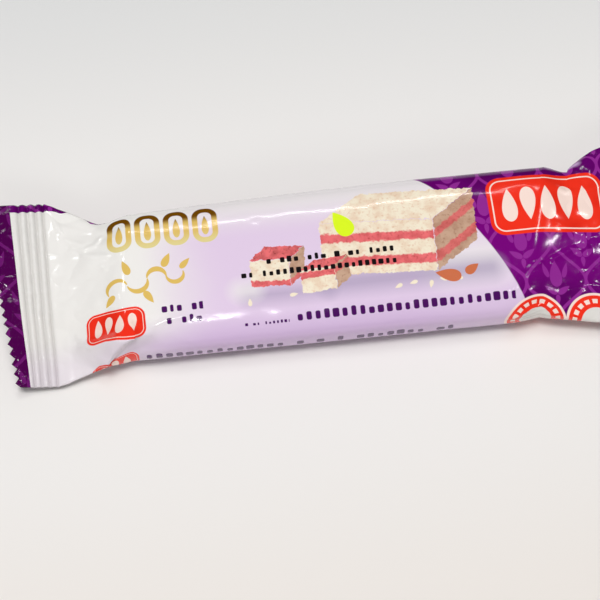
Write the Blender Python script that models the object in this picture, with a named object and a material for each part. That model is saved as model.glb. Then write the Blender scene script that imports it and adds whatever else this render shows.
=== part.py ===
"""A wrapped halva bar: printed film sealed round a slab of halva, lying on its back seam.

The pack is shut and opaque, so it is one solid with the film's outer shape. X runs along the pack, +Y is the far
side, +Z is up, and the origin is the centre of the underside. Lengths are in metres.

The film is a tube. Every ring of the tube is a closed line round the pack: over the top from the near side fold
to the far one, and back underneath. Rings in the middle are the section of the slab. Towards each end they
narrow to a waist, tuck in at the sides and open out again into the flat crimped seal.
"""

import math
from dataclasses import dataclass

import bmesh
import bpy
import numpy as np

# Driving dimensions of the pack
PACK_LENGTH = 0.152
FLAT_WIDTH = 0.0430
BODY_HEIGHT = 0.0127

# End seals: a plain margin with a slanting saw-tooth cut, then the crimped ribs
SEAL_LENGTH = 0.0108
RIB_PITCH = 0.00165
RIB_COUNT = 4
RIB_DEPTH = 0.0006
SEAL_THICKNESS = 0.00045
TEETH = 19
TOOTH_DEPTH = 0.0010
TOOTH_ROOT = 0.0012
CUT_SKEW = 0.0023
SKEW_BEND = 3.5

# Where the seals' middle planes are, and how they tilt, twist and wave
SEAL_HEIGHT = {-1: 0.0062, 1: 0.0068}
SEAL_TILT = {-1: 0.0022, 1: 0.0014}
SEAL_TWIST = {-1: 0.0003, 1: 0.0012}
SEAL_WAVE = 0.0004

# The back seam: a flap of film folded flat along the underside
SEAM_WIDTH = 0.0100
SEAM_THICKNESS = 0.00025
UNDERSIDE_FLATNESS = 0.0002

# How far each long side bulges midway along the slab, near (-1) and far (1)
SIDE_BULGE = {-1: 0.0, 1: 0.0007}

# Form of the rings
BODY_POWER = 3.4
SEAL_POWER = 9.0
WAIST_POWER = 2.2
TOP_CROWN = 0.00025

# How finely the film is divided
SEGMENTS_ACROSS = 2 * TEETH
TRANSITION_STEPS = 13
BODY_STEPS = 9
CURVE_SAMPLES = 721

FILM_COLOUR = (0.83, 0.76, 0.84, 1.0)
FILM_ROUGHNESS = 0.28

HALF_LENGTH = PACK_LENGTH / 2
HALF_FLAT = FLAT_WIDTH / 2
SEAL_START = HALF_LENGTH - SEAL_LENGTH
BODY_MIDDLE = SEAM_THICKNESS + BODY_HEIGHT / 2


@dataclass(frozen=True)
class Flank:
    """One side of the pack at one end.

    Half widths are measured from the pack's middle line. slab_end is where the slab stops, waist is where the
    film starts to open out to the seal, bend shapes the way it opens (1 is straight, less is bulged), tuck is the
    depth of the side fold, and pinch is how much further the top sheet is drawn in than the bottom one.
    """

    body_half: float
    slab_end: float
    waist: float
    waist_half: float
    bend: float
    tuck: float
    pinch: float


# Keys: the end (-1 left, 1 right) and the side (-1 near, 1 far)
FLANKS = {
    (-1, -1): Flank(0.0171, 0.0474, 0.0522, 0.0178, 0.87, 0.0001, -0.0007),
    (-1, 1): Flank(0.0158, 0.0454, 0.0529, 0.0160, 1.07, 0.0004, 0.0009),
    (1, -1): Flank(0.0178, 0.0354, 0.0417, 0.0175, 0.67, 0.0002, 0.0000),
    (1, 1): Flank(0.0168, 0.0467, 0.0527, 0.0168, 0.52, 0.0011, 0.0009),
}


def smooth(value):
    """Turns a share from 0 to 1 into one that starts and ends gently."""
    share = min(max(value, 0.0), 1.0)
    return share * share * (3.0 - 2.0 * share)


def blend(first, second, share):
    """The value that lies at a share of the way from the first to the second."""
    return first + (second - first) * share


def ring_outline(halves, half_height, power, tucks=(0.0, 0.0), pinches=(0.0, 0.0)):
    """Dense points (across, up) round a ring about its own middle, from the near fold over the top and back.

    halves, tucks and pinches each hold a value for the near side and one for the far side.
    """
    angles = np.linspace(math.pi, -math.pi, CURVE_SAMPLES)
    reach = np.abs(np.cos(angles)) ** (2.0 / power)
    up = np.sign(np.sin(angles)) * np.abs(np.sin(angles)) ** (2.0 / power)
    near = np.cos(angles) < 0.0
    half = np.where(near, halves[0], halves[1])
    tuck = np.where(near, tucks[0], tucks[1]) * np.exp(-((up / 0.45) ** 2))
    pinch = np.where(near, pinches[0], pinches[1]) * (up + 1.0) / 2.0
    across = half * reach - (tuck + pinch) * reach**3
    return np.where(near, -across, across), up * half_height


def evenly_spaced(across, up):
    """The ring's corners, spaced evenly along the film on the top half and on the bottom half."""
    middle = CURVE_SAMPLES // 2
    corners = []
    for half in (slice(0, middle + 1), slice(middle, CURVE_SAMPLES)):
        run = np.hypot(np.diff(across[half]), np.diff(up[half]))
        travelled = np.concatenate([[0.0], np.cumsum(run)])
        wanted = np.linspace(0.0, travelled[-1], SEGMENTS_ACROSS + 1)[:-1]
        corners += list(zip(np.interp(wanted, travelled, across[half]), np.interp(wanted, travelled, up[half])))
    return corners


def body_ring(share):
    """A ring round the slab, at a share of the way from its left end to its right one."""
    halves = [
        blend(FLANKS[-1, flank].body_half, FLANKS[1, flank].body_half, share)
        + SIDE_BULGE[flank] * 4.0 * share * (1.0 - share)
        for flank in (-1, 1)
    ]
    near_x, far_x = (blend(-FLANKS[-1, flank].slab_end, FLANKS[1, flank].slab_end, share) for flank in (-1, 1))
    points = []
    for across, up in evenly_spaced(*ring_outline(halves, BODY_HEIGHT / 2, BODY_POWER)):
        place = (across + halves[0]) / sum(halves)
        crown = TOP_CROWN * max(0.0, 1.0 - (across / halves[0]) ** 2) if up > 0 else 0.0
        points.append((blend(near_x, far_x, place), across, BODY_MIDDLE + up + crown))
    return points


def seal_middle(end, across, out):
    """Height of a seal's middle plane, without its ribs. out is the share of the seal's length, 1 at the tip."""
    share = across / HALF_FLAT
    wave = SEAL_WAVE * math.sin(2.6 * share + 0.5 * end)
    return SEAL_HEIGHT[end] + SEAL_TILT[end] * out + SEAL_TWIST[end] * share + wave


def half_width_at(end, flank, x):
    """Half width of the film between the slab's end and the seal, at a distance x from the pack's middle."""
    form = FLANKS[end, flank]
    if x <= form.waist:
        return blend(form.body_half, form.waist_half, smooth((x - form.slab_end) / (form.waist - form.slab_end)))
    opened = (x - form.waist) / (SEAL_START - form.waist)
    return blend(form.waist_half, HALF_FLAT, opened**form.bend)


def transition_ring(end, share):
    """A ring between the slab's end, at share 0, and the seal, at share 1."""
    forms = [FLANKS[end, flank] for flank in (-1, 1)]
    distances = [blend(form.slab_end, SEAL_START, share) for form in forms]
    halves = [half_width_at(end, flank, x) for flank, x in zip((-1, 1), distances)]
    half_height = blend(BODY_HEIGHT / 2, SEAL_THICKNESS / 2, blend(smooth(share), share, 0.75))
    power = blend(BODY_POWER, WAIST_POWER, smooth(share / 0.4))
    power = blend(power, SEAL_POWER, smooth((share - 0.8) / 0.2))
    folding = smooth(share / 0.3) * (1.0 - smooth((share - 0.35) / 0.4))
    tucks = [form.tuck * folding for form in forms]
    pinches = [form.pinch * folding for form in forms]
    points = []
    for across, up in evenly_spaced(*ring_outline(halves, half_height, power, tucks, pinches)):
        place = (across + halves[0]) / sum(halves)
        middle = blend(BODY_MIDDLE, seal_middle(end, across, 0.0), smooth(share))
        crown = TOP_CROWN * (1.0 - share) if up > 0 else 0.0
        points.append((end * blend(distances[0], distances[1], place), across, middle + up + crown))
    return points


def cut_skew_at(inward, across):
    """How far the slant of the cut moves a point along the pack. It grows from the seal's inner edge to the teeth."""
    grown = min(1.0, (SEAL_LENGTH - inward) / (SEAL_LENGTH - TOOTH_ROOT))
    return CUT_SKEW * across / HALF_FLAT * grown**SKEW_BEND


def seal_ring(end, inward, rib=0.0):
    """A flat ring of the seal, inward from the cut. rib is how far its middle plane stands up or down."""
    outline = ring_outline((HALF_FLAT, HALF_FLAT), SEAL_THICKNESS / 2, SEAL_POWER)
    points = []
    for index, (across, up) in enumerate(evenly_spaced(*outline)):
        out = 1.0 - inward / SEAL_LENGTH
        tooth = TOOTH_DEPTH if inward == 0.0 and index % 2 == 1 else 0.0
        x = end * (HALF_LENGTH - inward - tooth) - cut_skew_at(inward, across)
        points.append((x, across, seal_middle(end, across, out) + up + rib))
    return points


def seal_rings(end):
    """The rings of one seal, from the inner edge to the saw-tooth cut."""
    rings = []
    for step in range(1, 2 * RIB_COUNT):
        rib = RIB_DEPTH / 2 * (1 if step % 2 else -1)
        rings.append(seal_ring(end, SEAL_LENGTH - step * RIB_PITCH / 2, rib))
    for inward in (SEAL_LENGTH - RIB_PITCH * RIB_COUNT, TOOTH_ROOT, 0.0):
        rings.append(seal_ring(end, inward))
    return rings


def all_rings():
    """Every ring of the pack, from the left cut to the right one."""
    ends = {}
    for end in (-1, 1):
        transition = [transition_ring(end, step / TRANSITION_STEPS) for step in range(1, TRANSITION_STEPS + 1)]
        ends[end] = transition + seal_rings(end)
    body = [body_ring(step / BODY_STEPS) for step in range(BODY_STEPS + 1)]
    return ends[-1][::-1] + body + ends[1]


def with_back_seam(ring):
    """Flattens the underside to the plane it rests on, and lets the folded back seam stand down from it."""
    shaped = []
    for index, (x, y, z) in enumerate(ring):
        underneath = index > SEGMENTS_ACROSS
        if underneath and z < SEAM_THICKNESS + UNDERSIDE_FLATNESS:
            z = SEAM_THICKNESS
        if underneath and abs(y) <= SEAM_WIDTH / 2:
            z -= SEAM_THICKNESS
        shaped.append((x, y, z))
    return shaped


def build_film():
    """The closed film as a mesh: the tube of rings, with a narrow cut face at each saw-tooth tip."""
    mesh = bpy.data.meshes.new("wrapped_bar")
    shape = bmesh.new()
    rings = [[shape.verts.new(point) for point in with_back_seam(ring)] for ring in all_rings()]
    count = 2 * SEGMENTS_ACROSS
    for first, second in zip(rings, rings[1:]):
        for index in range(count):
            after = (index + 1) % count
            shape.faces.new((first[index], first[after], second[after], second[index]))
    for ring in (rings[0], rings[-1]):
        shape.faces.new((ring[0], ring[1], ring[-1]))
        for index in range(1, SEGMENTS_ACROSS - 1):
            shape.faces.new((ring[index], ring[index + 1], ring[-index - 1], ring[-index]))
        shape.faces.new((ring[SEGMENTS_ACROSS - 1], ring[SEGMENTS_ACROSS], ring[SEGMENTS_ACROSS + 1]))
    bmesh.ops.recalc_face_normals(shape, faces=shape.faces)
    bmesh.ops.triangulate(shape, faces=shape.faces)
    shape.to_mesh(mesh)
    shape.free()
    return mesh


def film_material():
    """Glossy printed film in its average pale lilac."""
    material = bpy.data.materials.new("printed_film")
    material.use_nodes = True
    shader = material.node_tree.nodes["Principled BSDF"]
    shader.inputs["Base Color"].default_value = FILM_COLOUR
    shader.inputs["Roughness"].default_value = FILM_ROUGHNESS
    shader.inputs["Metallic"].default_value = 0.0
    return material


def main():
    """Builds the wrapped bar in an empty scene."""
    for old in list(bpy.data.objects):
        bpy.data.objects.remove(old)
    mesh = build_film()
    mesh.materials.append(film_material())
    mesh.shade_smooth()
    mesh.set_sharp_from_angle(angle=math.radians(40.0))
    pack = bpy.data.objects.new("wrapped_bar", mesh)
    bpy.context.scene.collection.objects.link(pack)


main()
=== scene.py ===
"""Looks of a wrapped halva bar: creased glossy film with a printed front, on a plain pale floor.

The film is a closed tube. A place on it is given by two film coordinates in millimetres: `along`, which runs
with X from end to end, and `around`, which is 0 on the front's middle line, -22 at the near side fold, 22 at
the far one and -44 or 44 at the back seam. The same two numbers are the film's UV map, apart from the front's
far half, where the map keeps the print's true width.

Sizes are in millimetres unless a name says otherwise. MM turns them into the frame's metres.
"""

import logging
import math
import random
from dataclasses import dataclass, field
from enum import Enum, IntEnum
from types import SimpleNamespace
from typing import Sequence

import bpy
import numpy as np
from mathutils import Matrix, Vector

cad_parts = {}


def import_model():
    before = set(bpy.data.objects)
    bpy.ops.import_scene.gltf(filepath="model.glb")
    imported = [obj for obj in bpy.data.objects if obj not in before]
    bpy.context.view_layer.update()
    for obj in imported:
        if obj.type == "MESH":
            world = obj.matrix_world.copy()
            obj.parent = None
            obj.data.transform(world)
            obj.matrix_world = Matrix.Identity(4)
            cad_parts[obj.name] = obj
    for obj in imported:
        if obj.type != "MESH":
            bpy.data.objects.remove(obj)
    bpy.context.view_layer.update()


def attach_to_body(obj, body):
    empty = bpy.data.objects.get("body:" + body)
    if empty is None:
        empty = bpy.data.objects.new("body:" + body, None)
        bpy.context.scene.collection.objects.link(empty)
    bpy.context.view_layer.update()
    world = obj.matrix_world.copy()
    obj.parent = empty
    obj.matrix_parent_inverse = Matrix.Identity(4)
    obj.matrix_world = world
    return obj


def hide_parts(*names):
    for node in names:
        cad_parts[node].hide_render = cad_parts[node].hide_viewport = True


LOG = logging.getLogger("wrapped_bar")

MM = 0.001
BODY_NAME = "root"
CAD_NODE = "wrapped_bar"
PRINT_MAP = "FilmPrint"
RELIEF_MAP = "FilmRelief"
IMAGE_WIDTH_PX = 600
MERGE_DISTANCE_M = 2e-6

Place = tuple[float, float]
Ink = tuple[float, float, float, float]


def ink(red: int, green: int, blue: int) -> Ink:
    """Return a printed colour, given as it shows on a screen, as the linear colour that a shader takes."""
    shares = (red / 255, green / 255, blue / 255)
    linear = [((share + 0.055) / 1.055) ** 2.4 if share > 0.04 else share / 12.92 for share in shares]
    return linear[0], linear[1], linear[2], 1.0


class End(IntEnum):
    """An end of the pack. The value is the sign of X there."""

    LEFT = -1
    RIGHT = 1


class Side(IntEnum):
    """A side of the pack. The value is the sign of Y there."""

    NEAR = -1
    FAR = 1


def smooth(value: np.ndarray | float) -> np.ndarray | float:
    """Turn a share from 0 to 1 into one that starts and ends gently."""
    share = np.clip(value, 0.0, 1.0)
    return share * share * (3.0 - 2.0 * share)


def blend(first: float, second: float, share: np.ndarray | float) -> np.ndarray | float:
    """Return the value that lies at a share of the way from the first to the second."""
    return first + (second - first) * share


@dataclass(frozen=True)
class Flank:
    """One side of the pack at one end.

    Half widths and distances are measured from the pack's middle. From the waist the film opens out to the
    seal: straight where bend is 1, bulged where it is less. tuck is the depth of the side fold, and pinch is
    how much further the top sheet is drawn in than the bottom one.
    """

    body_half: float
    slab_end: float
    waist: float
    waist_half: float
    bend: float
    tuck: float
    pinch: float


@dataclass(frozen=True)
class FilmLine:
    """A line on the film through places given as (along, around)."""

    path: tuple[Place, ...]

    def reach(self, along: np.ndarray, around: np.ndarray) -> tuple[np.ndarray, np.ndarray, np.ndarray]:
        """Measure the film's places against the line.

        Args:
            along: Film coordinate along of each place.
            around: Film coordinate around of each place.

        Returns:
            Each place's distance from the line, positive on its left, and its distances along the line from
            the line's start and from its end.
        """
        nearest = np.full(along.shape, np.inf)
        signed = np.zeros(along.shape)
        travelled = np.zeros(along.shape)
        passed = 0.0
        for (x0, y0), (x1, y1) in zip(self.path, self.path[1:]):
            run = math.hypot(x1 - x0, y1 - y0)
            ux, uy = (x1 - x0) / run, (y1 - y0) / run
            dx, dy = along - x0, around - y0
            share = np.clip(dx * ux + dy * uy, 0.0, run)
            away = np.hypot(dx - share * ux, dy - share * uy)
            closer = away < nearest
            nearest = np.where(closer, away, nearest)
            signed = np.where(closer, np.where(ux * dy - uy * dx >= 0.0, away, -away), signed)
            travelled = np.where(closer, passed + share, travelled)
            passed += run
        return signed, travelled, passed - travelled


@dataclass(frozen=True)
class Crease(FilmLine):
    """A raised line in the film, or a groove where height is negative."""

    height: float = 0.2
    width: float = 0.8
    fade: float = 2.0

    def lift(self, along: np.ndarray, around: np.ndarray) -> np.ndarray:
        """Return how far the crease lifts each place of the film."""
        signed, before, after = self.reach(along, around)
        ends = smooth(before / self.fade) * smooth(after / self.fade)
        return self.height * np.exp(-((signed / self.width) ** 2)) * ends


@dataclass(frozen=True)
class Fold(FilmLine):
    """A line where the film on its left lies over the film on its right."""

    height: float = 0.6
    edge: float = 0.8
    spread: float = 6.0
    fade: float = 2.5

    def lift(self, along: np.ndarray, around: np.ndarray) -> np.ndarray:
        """Return how far the fold lifts each place of the film."""
        signed, before, after = self.reach(along, around)
        ends = smooth(before / self.fade) * smooth(after / self.fade)
        step = smooth(signed / self.edge + 0.5)
        return self.height * step * np.exp(-((np.maximum(signed, 0.0) / self.spread) ** 2)) * ends


@dataclass(frozen=True)
class Dent:
    """A soft hollow in the film, or a swelling where depth is negative."""

    along: float
    around: float
    length: float
    breadth: float
    depth: float
    turn_deg: float = 0.0

    def lift(self, along: np.ndarray, around: np.ndarray) -> np.ndarray:
        """Return how far the dent lifts each place of the film, which is down where depth is positive."""
        turn = math.radians(self.turn_deg)
        dx, dy = along - self.along, around - self.around
        lengthwise = (dx * math.cos(turn) + dy * math.sin(turn)) / self.length
        crosswise = (dy * math.cos(turn) - dx * math.sin(turn)) / self.breadth
        return -self.depth * np.exp(-(lengthwise**2) - crosswise**2)


@dataclass
class FilmRelief:
    """The folds, creases and dents of the film. lift() gives how far the film stands off its smooth form."""

    seal_start: float
    seed: int = 11
    wave_height: float = 0.03
    wave_count: int = 14
    slab_reach: float = 44.0
    calm_margin: float = 3.2
    calming_run: float = 2.6
    wrinkles_per_end: int = 22
    nicks_per_edge: int = 12
    edges_around: Place = (-12.2, 11.2)

    def folds(self) -> list[Fold | Crease | Dent]:
        """Return the large forms: the tucked corners of the slab and the pleat at the near side."""
        pleat = ((-54.7, -22.8), (-53.2, -20.8), (-51.0, -18.2), (-48.3, -16.2), (-44.6, -14.4))
        bulge = ((-60.8, -14.6), (-57.2, -14.8), (-51.3, -15.2), (-45.6, -15.0), (-42.0, -13.8))
        forms: list[Fold | Crease | Dent] = [
            Fold(pleat, 2.0, 0.42, 5.0, 3.6),
            Crease(bulge, 0.75, 1.3, 3.0),
            Dent(-54.0, -19.8, 6.5, 2.8, 1.1),
            Dent(-44.5, -18.2, 4.8, 2.6, 1.0, 24.0),
            Dent(-57.0, 17.0, 5.0, 3.2, 0.55, -25.0),
            Dent(-50.5, 14.5, 3.4, 2.0, 0.45, 20.0),
            Dent(49.5, 15.5, 4.5, 2.6, 0.55, 15.0),
            Dent(41.5, -18.5, 5.0, 2.4, 0.50, -10.0),
        ]
        for step in range(3):
            down = 1.15 * step
            path = ((33.2, -21.6 - down), (37.4, -19.3 - down), (41.0, -18.4 - down), (46.5, -18.9 - down))
            forms.append(Crease(path, 0.42 - 0.08 * step, 0.42, 2.2))
        return forms

    def creases(self) -> list[Crease]:
        """Return the fine creases that catch the light, where the photograph shows them."""
        slab_edge = ((-48.5, -12.2), (-45.2, -12.6), (-42.8, -13.3), (-40.4, -12.3), (-34.0, -11.2))
        return [
            Crease(((-64.8, 21.0), (-62.6, 17.6), (-60.8, 14.2)), 0.28, 0.55, 1.2),
            Crease(((-61.0, 13.6), (-58.2, 12.2), (-55.8, 11.6)), 0.22, 0.8, 1.2),
            Crease(((-60.2, 11.4), (-56.8, 10.2), (-54.0, 11.6), (-52.4, 15.2)), 0.24, 0.6, 1.2),
            Crease(((-57.8, 9.0), (-53.6, 8.2), (-50.2, 6.4)), 0.20, 0.7, 1.5),
            Crease(((-53.6, 5.2), (-51.4, 2.6)), 0.16, 0.6, 0.9),
            Crease(((-60.4, -11.4), (-57.6, -13.4)), 0.18, 0.6, 0.9),
            Crease(((-58.4, -14.0), (-55.6, -16.2)), 0.18, 0.6, 0.9),
            Crease(slab_edge, 0.22, 0.6, 1.5),
            Crease(((-41.0, -14.2), (-33.0, -18.4)), 0.10, 0.9, 2.0),
            Crease(((35.2, -14.2), (37.2, -11.2), (39.8, -8.9), (43.4, -7.7)), 0.36, 0.6, 1.2),
            Crease(((44.3, -8.0), (47.6, -6.0), (50.6, -4.6), (54.4, -4.4)), 0.32, 0.6, 1.2),
            Crease(((53.8, -6.2), (53.4, -3.6), (53.8, -0.8)), 0.20, 0.6, 0.9),
            Crease(((50.8, -10.6), (55.2, -9.6)), 0.16, 0.5, 0.9),
            Crease(((46.0, 3.0), (52.0, -0.8), (58.0, -2.2)), 0.12, 1.0, 2.0),
            Crease(((48.0, 12.8), (54.5, 10.6), (60.5, 11.4)), 0.22, 0.8, 2.0),
            Crease(((46.0, -15.0), (54.0, -13.0), (61.5, -13.8)), 0.20, 0.9, 2.0),
        ]

    def wrinkles(self, end: End, draw: random.Random) -> list[Crease]:
        """Return short wrinkles that run from a seal's inner edge towards the slab.

        Args:
            end: The seal's end.
            draw: Source of the wrinkles' places and sizes.

        Returns:
            The wrinkles, on the front and the back.
        """
        found = []
        for _ in range(self.wrinkles_per_end):
            around = draw.uniform(-42.0, 42.0)
            start = self.seal_start - draw.uniform(0.0, 1.0)
            length = draw.uniform(3.0, 8.5)
            lean = draw.uniform(-0.35, 0.35) * length
            middle = (end * (start - length / 2), around + lean * 0.35)
            path = ((end * start, around), middle, (end * (start - length), around + lean))
            height = draw.choice((-1, 1)) * draw.uniform(0.04, 0.10)
            found.append(Crease(path, height, draw.uniform(0.35, 0.8), 1.6))
        return found

    def nicks(self, draw: random.Random) -> list[Dent]:
        """Return small dents along the slab's long edges, which break up the light on them."""
        found = []
        for level in self.edges_around:
            for _ in range(self.nicks_per_edge):
                along = draw.uniform(-self.slab_reach, self.slab_reach)
                around = level + draw.uniform(-1.6, 1.6)
                depth = draw.uniform(-0.03, 0.09)
                found.append(Dent(along, around, draw.uniform(1.2, 4.5), draw.uniform(0.7, 1.8), depth))
        return found

    def waves(self, along: np.ndarray, around: np.ndarray, draw: random.Random) -> np.ndarray:
        """Return the film's slow waviness, which is larger where no slab backs it."""
        total = np.zeros(along.shape)
        for _ in range(self.wave_count):
            pitch = draw.uniform(9.0, 28.0)
            turn = draw.uniform(0.0, math.pi)
            phase = draw.uniform(0.0, 2.0 * math.pi)
            place = along * math.cos(turn) + around * math.sin(turn)
            total += np.sin(place * 2.0 * math.pi / pitch + phase) / self.wave_count**0.5
        loose = 1.0 + 1.2 * smooth((np.abs(along) - self.slab_reach) / 8.0)
        return self.wave_height * total * loose

    def lift(self, along: np.ndarray, around: np.ndarray) -> np.ndarray:
        """Return how far each place of the film stands off its smooth form."""
        draw = random.Random(self.seed)
        total = self.waves(along, around, draw)
        forms = self.folds() + self.creases() + self.nicks(draw)
        for end in End:
            forms += self.wrinkles(end, draw)
        for form in forms:
            total += form.lift(along, around)
        near_seal = np.abs(along) - self.seal_start + self.calm_margin
        return total * (1.0 - smooth(near_seal / self.calming_run))


def bent_grid(name: str, points: np.ndarray, maps: dict[str, np.ndarray]) -> bpy.types.Object:
    """Make a grid, bend it to its points and give it its UV maps.

    Args:
        name: The piece's name.
        points: The grid's places in millimetres, by row, column and axis.
        maps: Each UV map's values by its name: row, column, then U and V.

    Returns:
        The piece, at the origin, with its place in its mesh.
    """
    rows, columns = points.shape[0] - 1, points.shape[1] - 1
    bpy.ops.mesh.primitive_grid_add(x_subdivisions=rows, y_subdivisions=columns, size=2.0)
    piece = bpy.context.active_object
    piece.name = name
    mesh = piece.data
    flat = np.zeros(len(mesh.vertices) * 3)
    mesh.vertices.foreach_get("co", flat)
    shares = (flat.reshape(-1, 3) + 1.0) / 2.0
    row = np.rint(shares[:, 0] * rows).astype(int)
    column = np.rint(shares[:, 1] * columns).astype(int)
    mesh.vertices.foreach_set("co", (points[row, column] * MM).astype(np.float32).ravel())
    corner = np.zeros(len(mesh.loops), dtype=np.int32)
    mesh.loops.foreach_get("vertex_index", corner)
    for map_name, values in maps.items():
        layer = mesh.uv_layers.new(name=map_name)
        layer.data.foreach_set("uv", values[row[corner], column[corner]].astype(np.float32).ravel())
    mesh.update()
    return piece


@dataclass
class FilmTube:
    """The film of the pack, from one saw-tooth cut to the other.

    The sizes follow those of the solid that the film stands for, with slightly longer and thinner seals and
    deeper ribs. The near corner of the left seal hangs down by droop. build() makes the mesh.
    """

    length: float = 152.0
    flat_width: float = 43.0
    body_height: float = 12.7
    seal_length: float = 11.4
    rib_pitch: float = 1.72
    rib_count: int = 4
    rib_depth: float = 0.8
    rib_power: float = 0.9
    rib_phase: float = 0.3
    seal_thickness: float = 0.34
    teeth: int = 19
    tooth_depth: float = 1.0
    tooth_root: float = 1.2
    cut_skew: float = 2.3
    skew_bend: float = 3.5
    seal_height: dict[End, float] = field(default_factory=lambda: {End.LEFT: 6.2, End.RIGHT: 6.8})
    seal_tilt: dict[End, float] = field(default_factory=lambda: {End.LEFT: 2.2, End.RIGHT: 1.4})
    seal_twist: dict[End, float] = field(default_factory=lambda: {End.LEFT: 0.3, End.RIGHT: 1.2})
    seal_wave: float = 0.4
    flutter: float = 0.22
    fine_flutter: float = 0.045
    closing_run: float = 0.3
    droop: float = 3.8
    drawn_in: float = 1.35
    rest_height: float = 0.25
    side_bulge: dict[Side, float] = field(default_factory=lambda: {Side.NEAR: 0.0, Side.FAR: 0.7})
    body_power: float = 3.4
    waist_power: float = 2.2
    seal_power: float = 9.0
    crown: float = 0.25
    tuck_height: float = 0.45
    quarter_samples: int = 121
    side_fold: float = 22.0
    level_top: float = 13.2
    top_play: float = 0.3
    columns_per_tooth: int = 6
    seal_rows: int = 62
    transition_rows: int = 54
    body_rows: int = 158

    def __post_init__(self) -> None:
        """Work out the sizes that follow from the driving ones."""
        self.half_length = self.length / 2
        self.half_flat = self.flat_width / 2
        self.seal_start = self.half_length - self.seal_length
        self.middle = self.rest_height + self.body_height / 2
        self.columns = 2 * self.teeth * self.columns_per_tooth
        self.flanks = {
            (End.LEFT, Side.NEAR): Flank(17.1, 47.4, 52.2, 17.8, 0.87, 0.1, -0.7),
            (End.LEFT, Side.FAR): Flank(15.8, 45.4, 52.9, 16.0, 1.07, 0.4, 0.9),
            (End.RIGHT, Side.NEAR): Flank(17.8, 35.4, 41.7, 17.5, 0.67, 0.2, 0.0),
            (End.RIGHT, Side.FAR): Flank(16.8, 46.7, 52.7, 16.8, 0.52, 1.1, 0.9),
        }

    def around_values(self) -> np.ndarray:
        """Return the film coordinate `around` of each column, from the back seam round the front and back."""
        return np.linspace(-2.0 * self.side_fold, 2.0 * self.side_fold, self.columns + 1)

    def ring(
        self,
        halves: tuple[float, float],
        half_height: float,
        power: float,
        tucks: tuple[float, float] = (0.0, 0.0),
        pinches: tuple[float, float] = (0.0, 0.0),
    ) -> tuple[np.ndarray, np.ndarray]:
        """Return the places of a ring's columns about its own middle.

        Args:
            halves: The ring's half width on the near side and on the far side.
            half_height: Half the ring's height.
            power: How square the ring is. 2 is an ellipse.
            tucks: Depth of the side fold, near and far.
            pinches: How much further the top sheet is drawn in, near and far.

        Returns:
            Arrays across and up, one value a column, from the back seam over the near side.
        """
        quarter_columns = self.columns // 4
        across_runs = []
        up_runs = []
        for quarter in range(4):
            start = 1.5 * math.pi - quarter * 0.5 * math.pi
            angles = np.linspace(start, start - 0.5 * math.pi, self.quarter_samples)
            reach = np.abs(np.cos(angles)) ** (2.0 / power)
            rise = np.sign(np.round(np.sin(angles), 12)) * np.abs(np.sin(angles)) ** (2.0 / power)
            side = 0 if quarter < 2 else 1
            fold = np.exp(-((rise / self.tuck_height) ** 2))
            inward = tucks[side] * fold + pinches[side] * (rise + 1.0) / 2.0
            across = (halves[side] * reach - inward * reach**3) * (-1.0 if side == 0 else 1.0)
            up = rise * half_height
            travelled = np.concatenate([[0.0], np.cumsum(np.hypot(np.diff(across), np.diff(up)))])
            wanted = np.linspace(0.0, travelled[-1], quarter_columns + 1)
            last = None if quarter == 3 else -1
            across_runs.append(np.interp(wanted, travelled, across)[:last])
            up_runs.append(np.interp(wanted, travelled, up)[:last])
        return np.concatenate(across_runs), np.concatenate(up_runs)

    def half_width_at(self, end: End, side: Side, x: float) -> float:
        """Return the film's half width between slab and seal, at a distance x from the pack's middle."""
        form = self.flanks[end, side]
        if x <= form.waist:
            narrowed = smooth((x - form.slab_end) / (form.waist - form.slab_end))
            return float(blend(form.body_half, form.waist_half, narrowed))
        opened = (x - form.waist) / (self.seal_start - form.waist)
        return float(blend(form.waist_half, self.reach(end, side), opened**form.bend))

    def reach(self, end: End, side: Side) -> float:
        """Return a seal's half width on a side. The corner that hangs down reaches less far out."""
        return self.half_flat - (self.drawn_in if (end, side) == (End.LEFT, Side.NEAR) else 0.0)

    def seal_middle(self, end: End, across: np.ndarray, out: float) -> np.ndarray:
        """Return the height of a seal's middle plane. out runs from 0 at its inner edge to 1 at the cut."""
        share = across / self.half_flat
        wave = self.seal_wave * np.sin(2.6 * share + 0.5 * end)
        hang = self.droop * smooth((-share - 0.15) / 0.85) if end is End.LEFT else 0.0
        return self.seal_height[end] + self.seal_tilt[end] * out + self.seal_twist[end] * share + wave - hang

    def body_ring(self, share: float) -> np.ndarray:
        """Return the points of a ring round the slab, at a share of the way from its left end."""
        left = [self.flanks[End.LEFT, side] for side in Side]
        right = [self.flanks[End.RIGHT, side] for side in Side]
        halves = tuple(
            blend(one.body_half, other.body_half, share) + self.side_bulge[side] * 4.0 * share * (1.0 - share)
            for side, one, other in zip(Side, left, right)
        )
        near_x, far_x = (blend(-one.slab_end, other.slab_end, share) for one, other in zip(left, right))
        across, up = self.ring(halves, self.body_height / 2, self.body_power)
        place = (across + halves[0]) / sum(halves)
        crown = np.where(up > 0, self.crown * np.clip(1.0 - (across / halves[0]) ** 2, 0.0, 1.0), 0.0)
        return np.stack([blend(near_x, far_x, place), across, self.middle + up + crown], axis=1)

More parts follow.
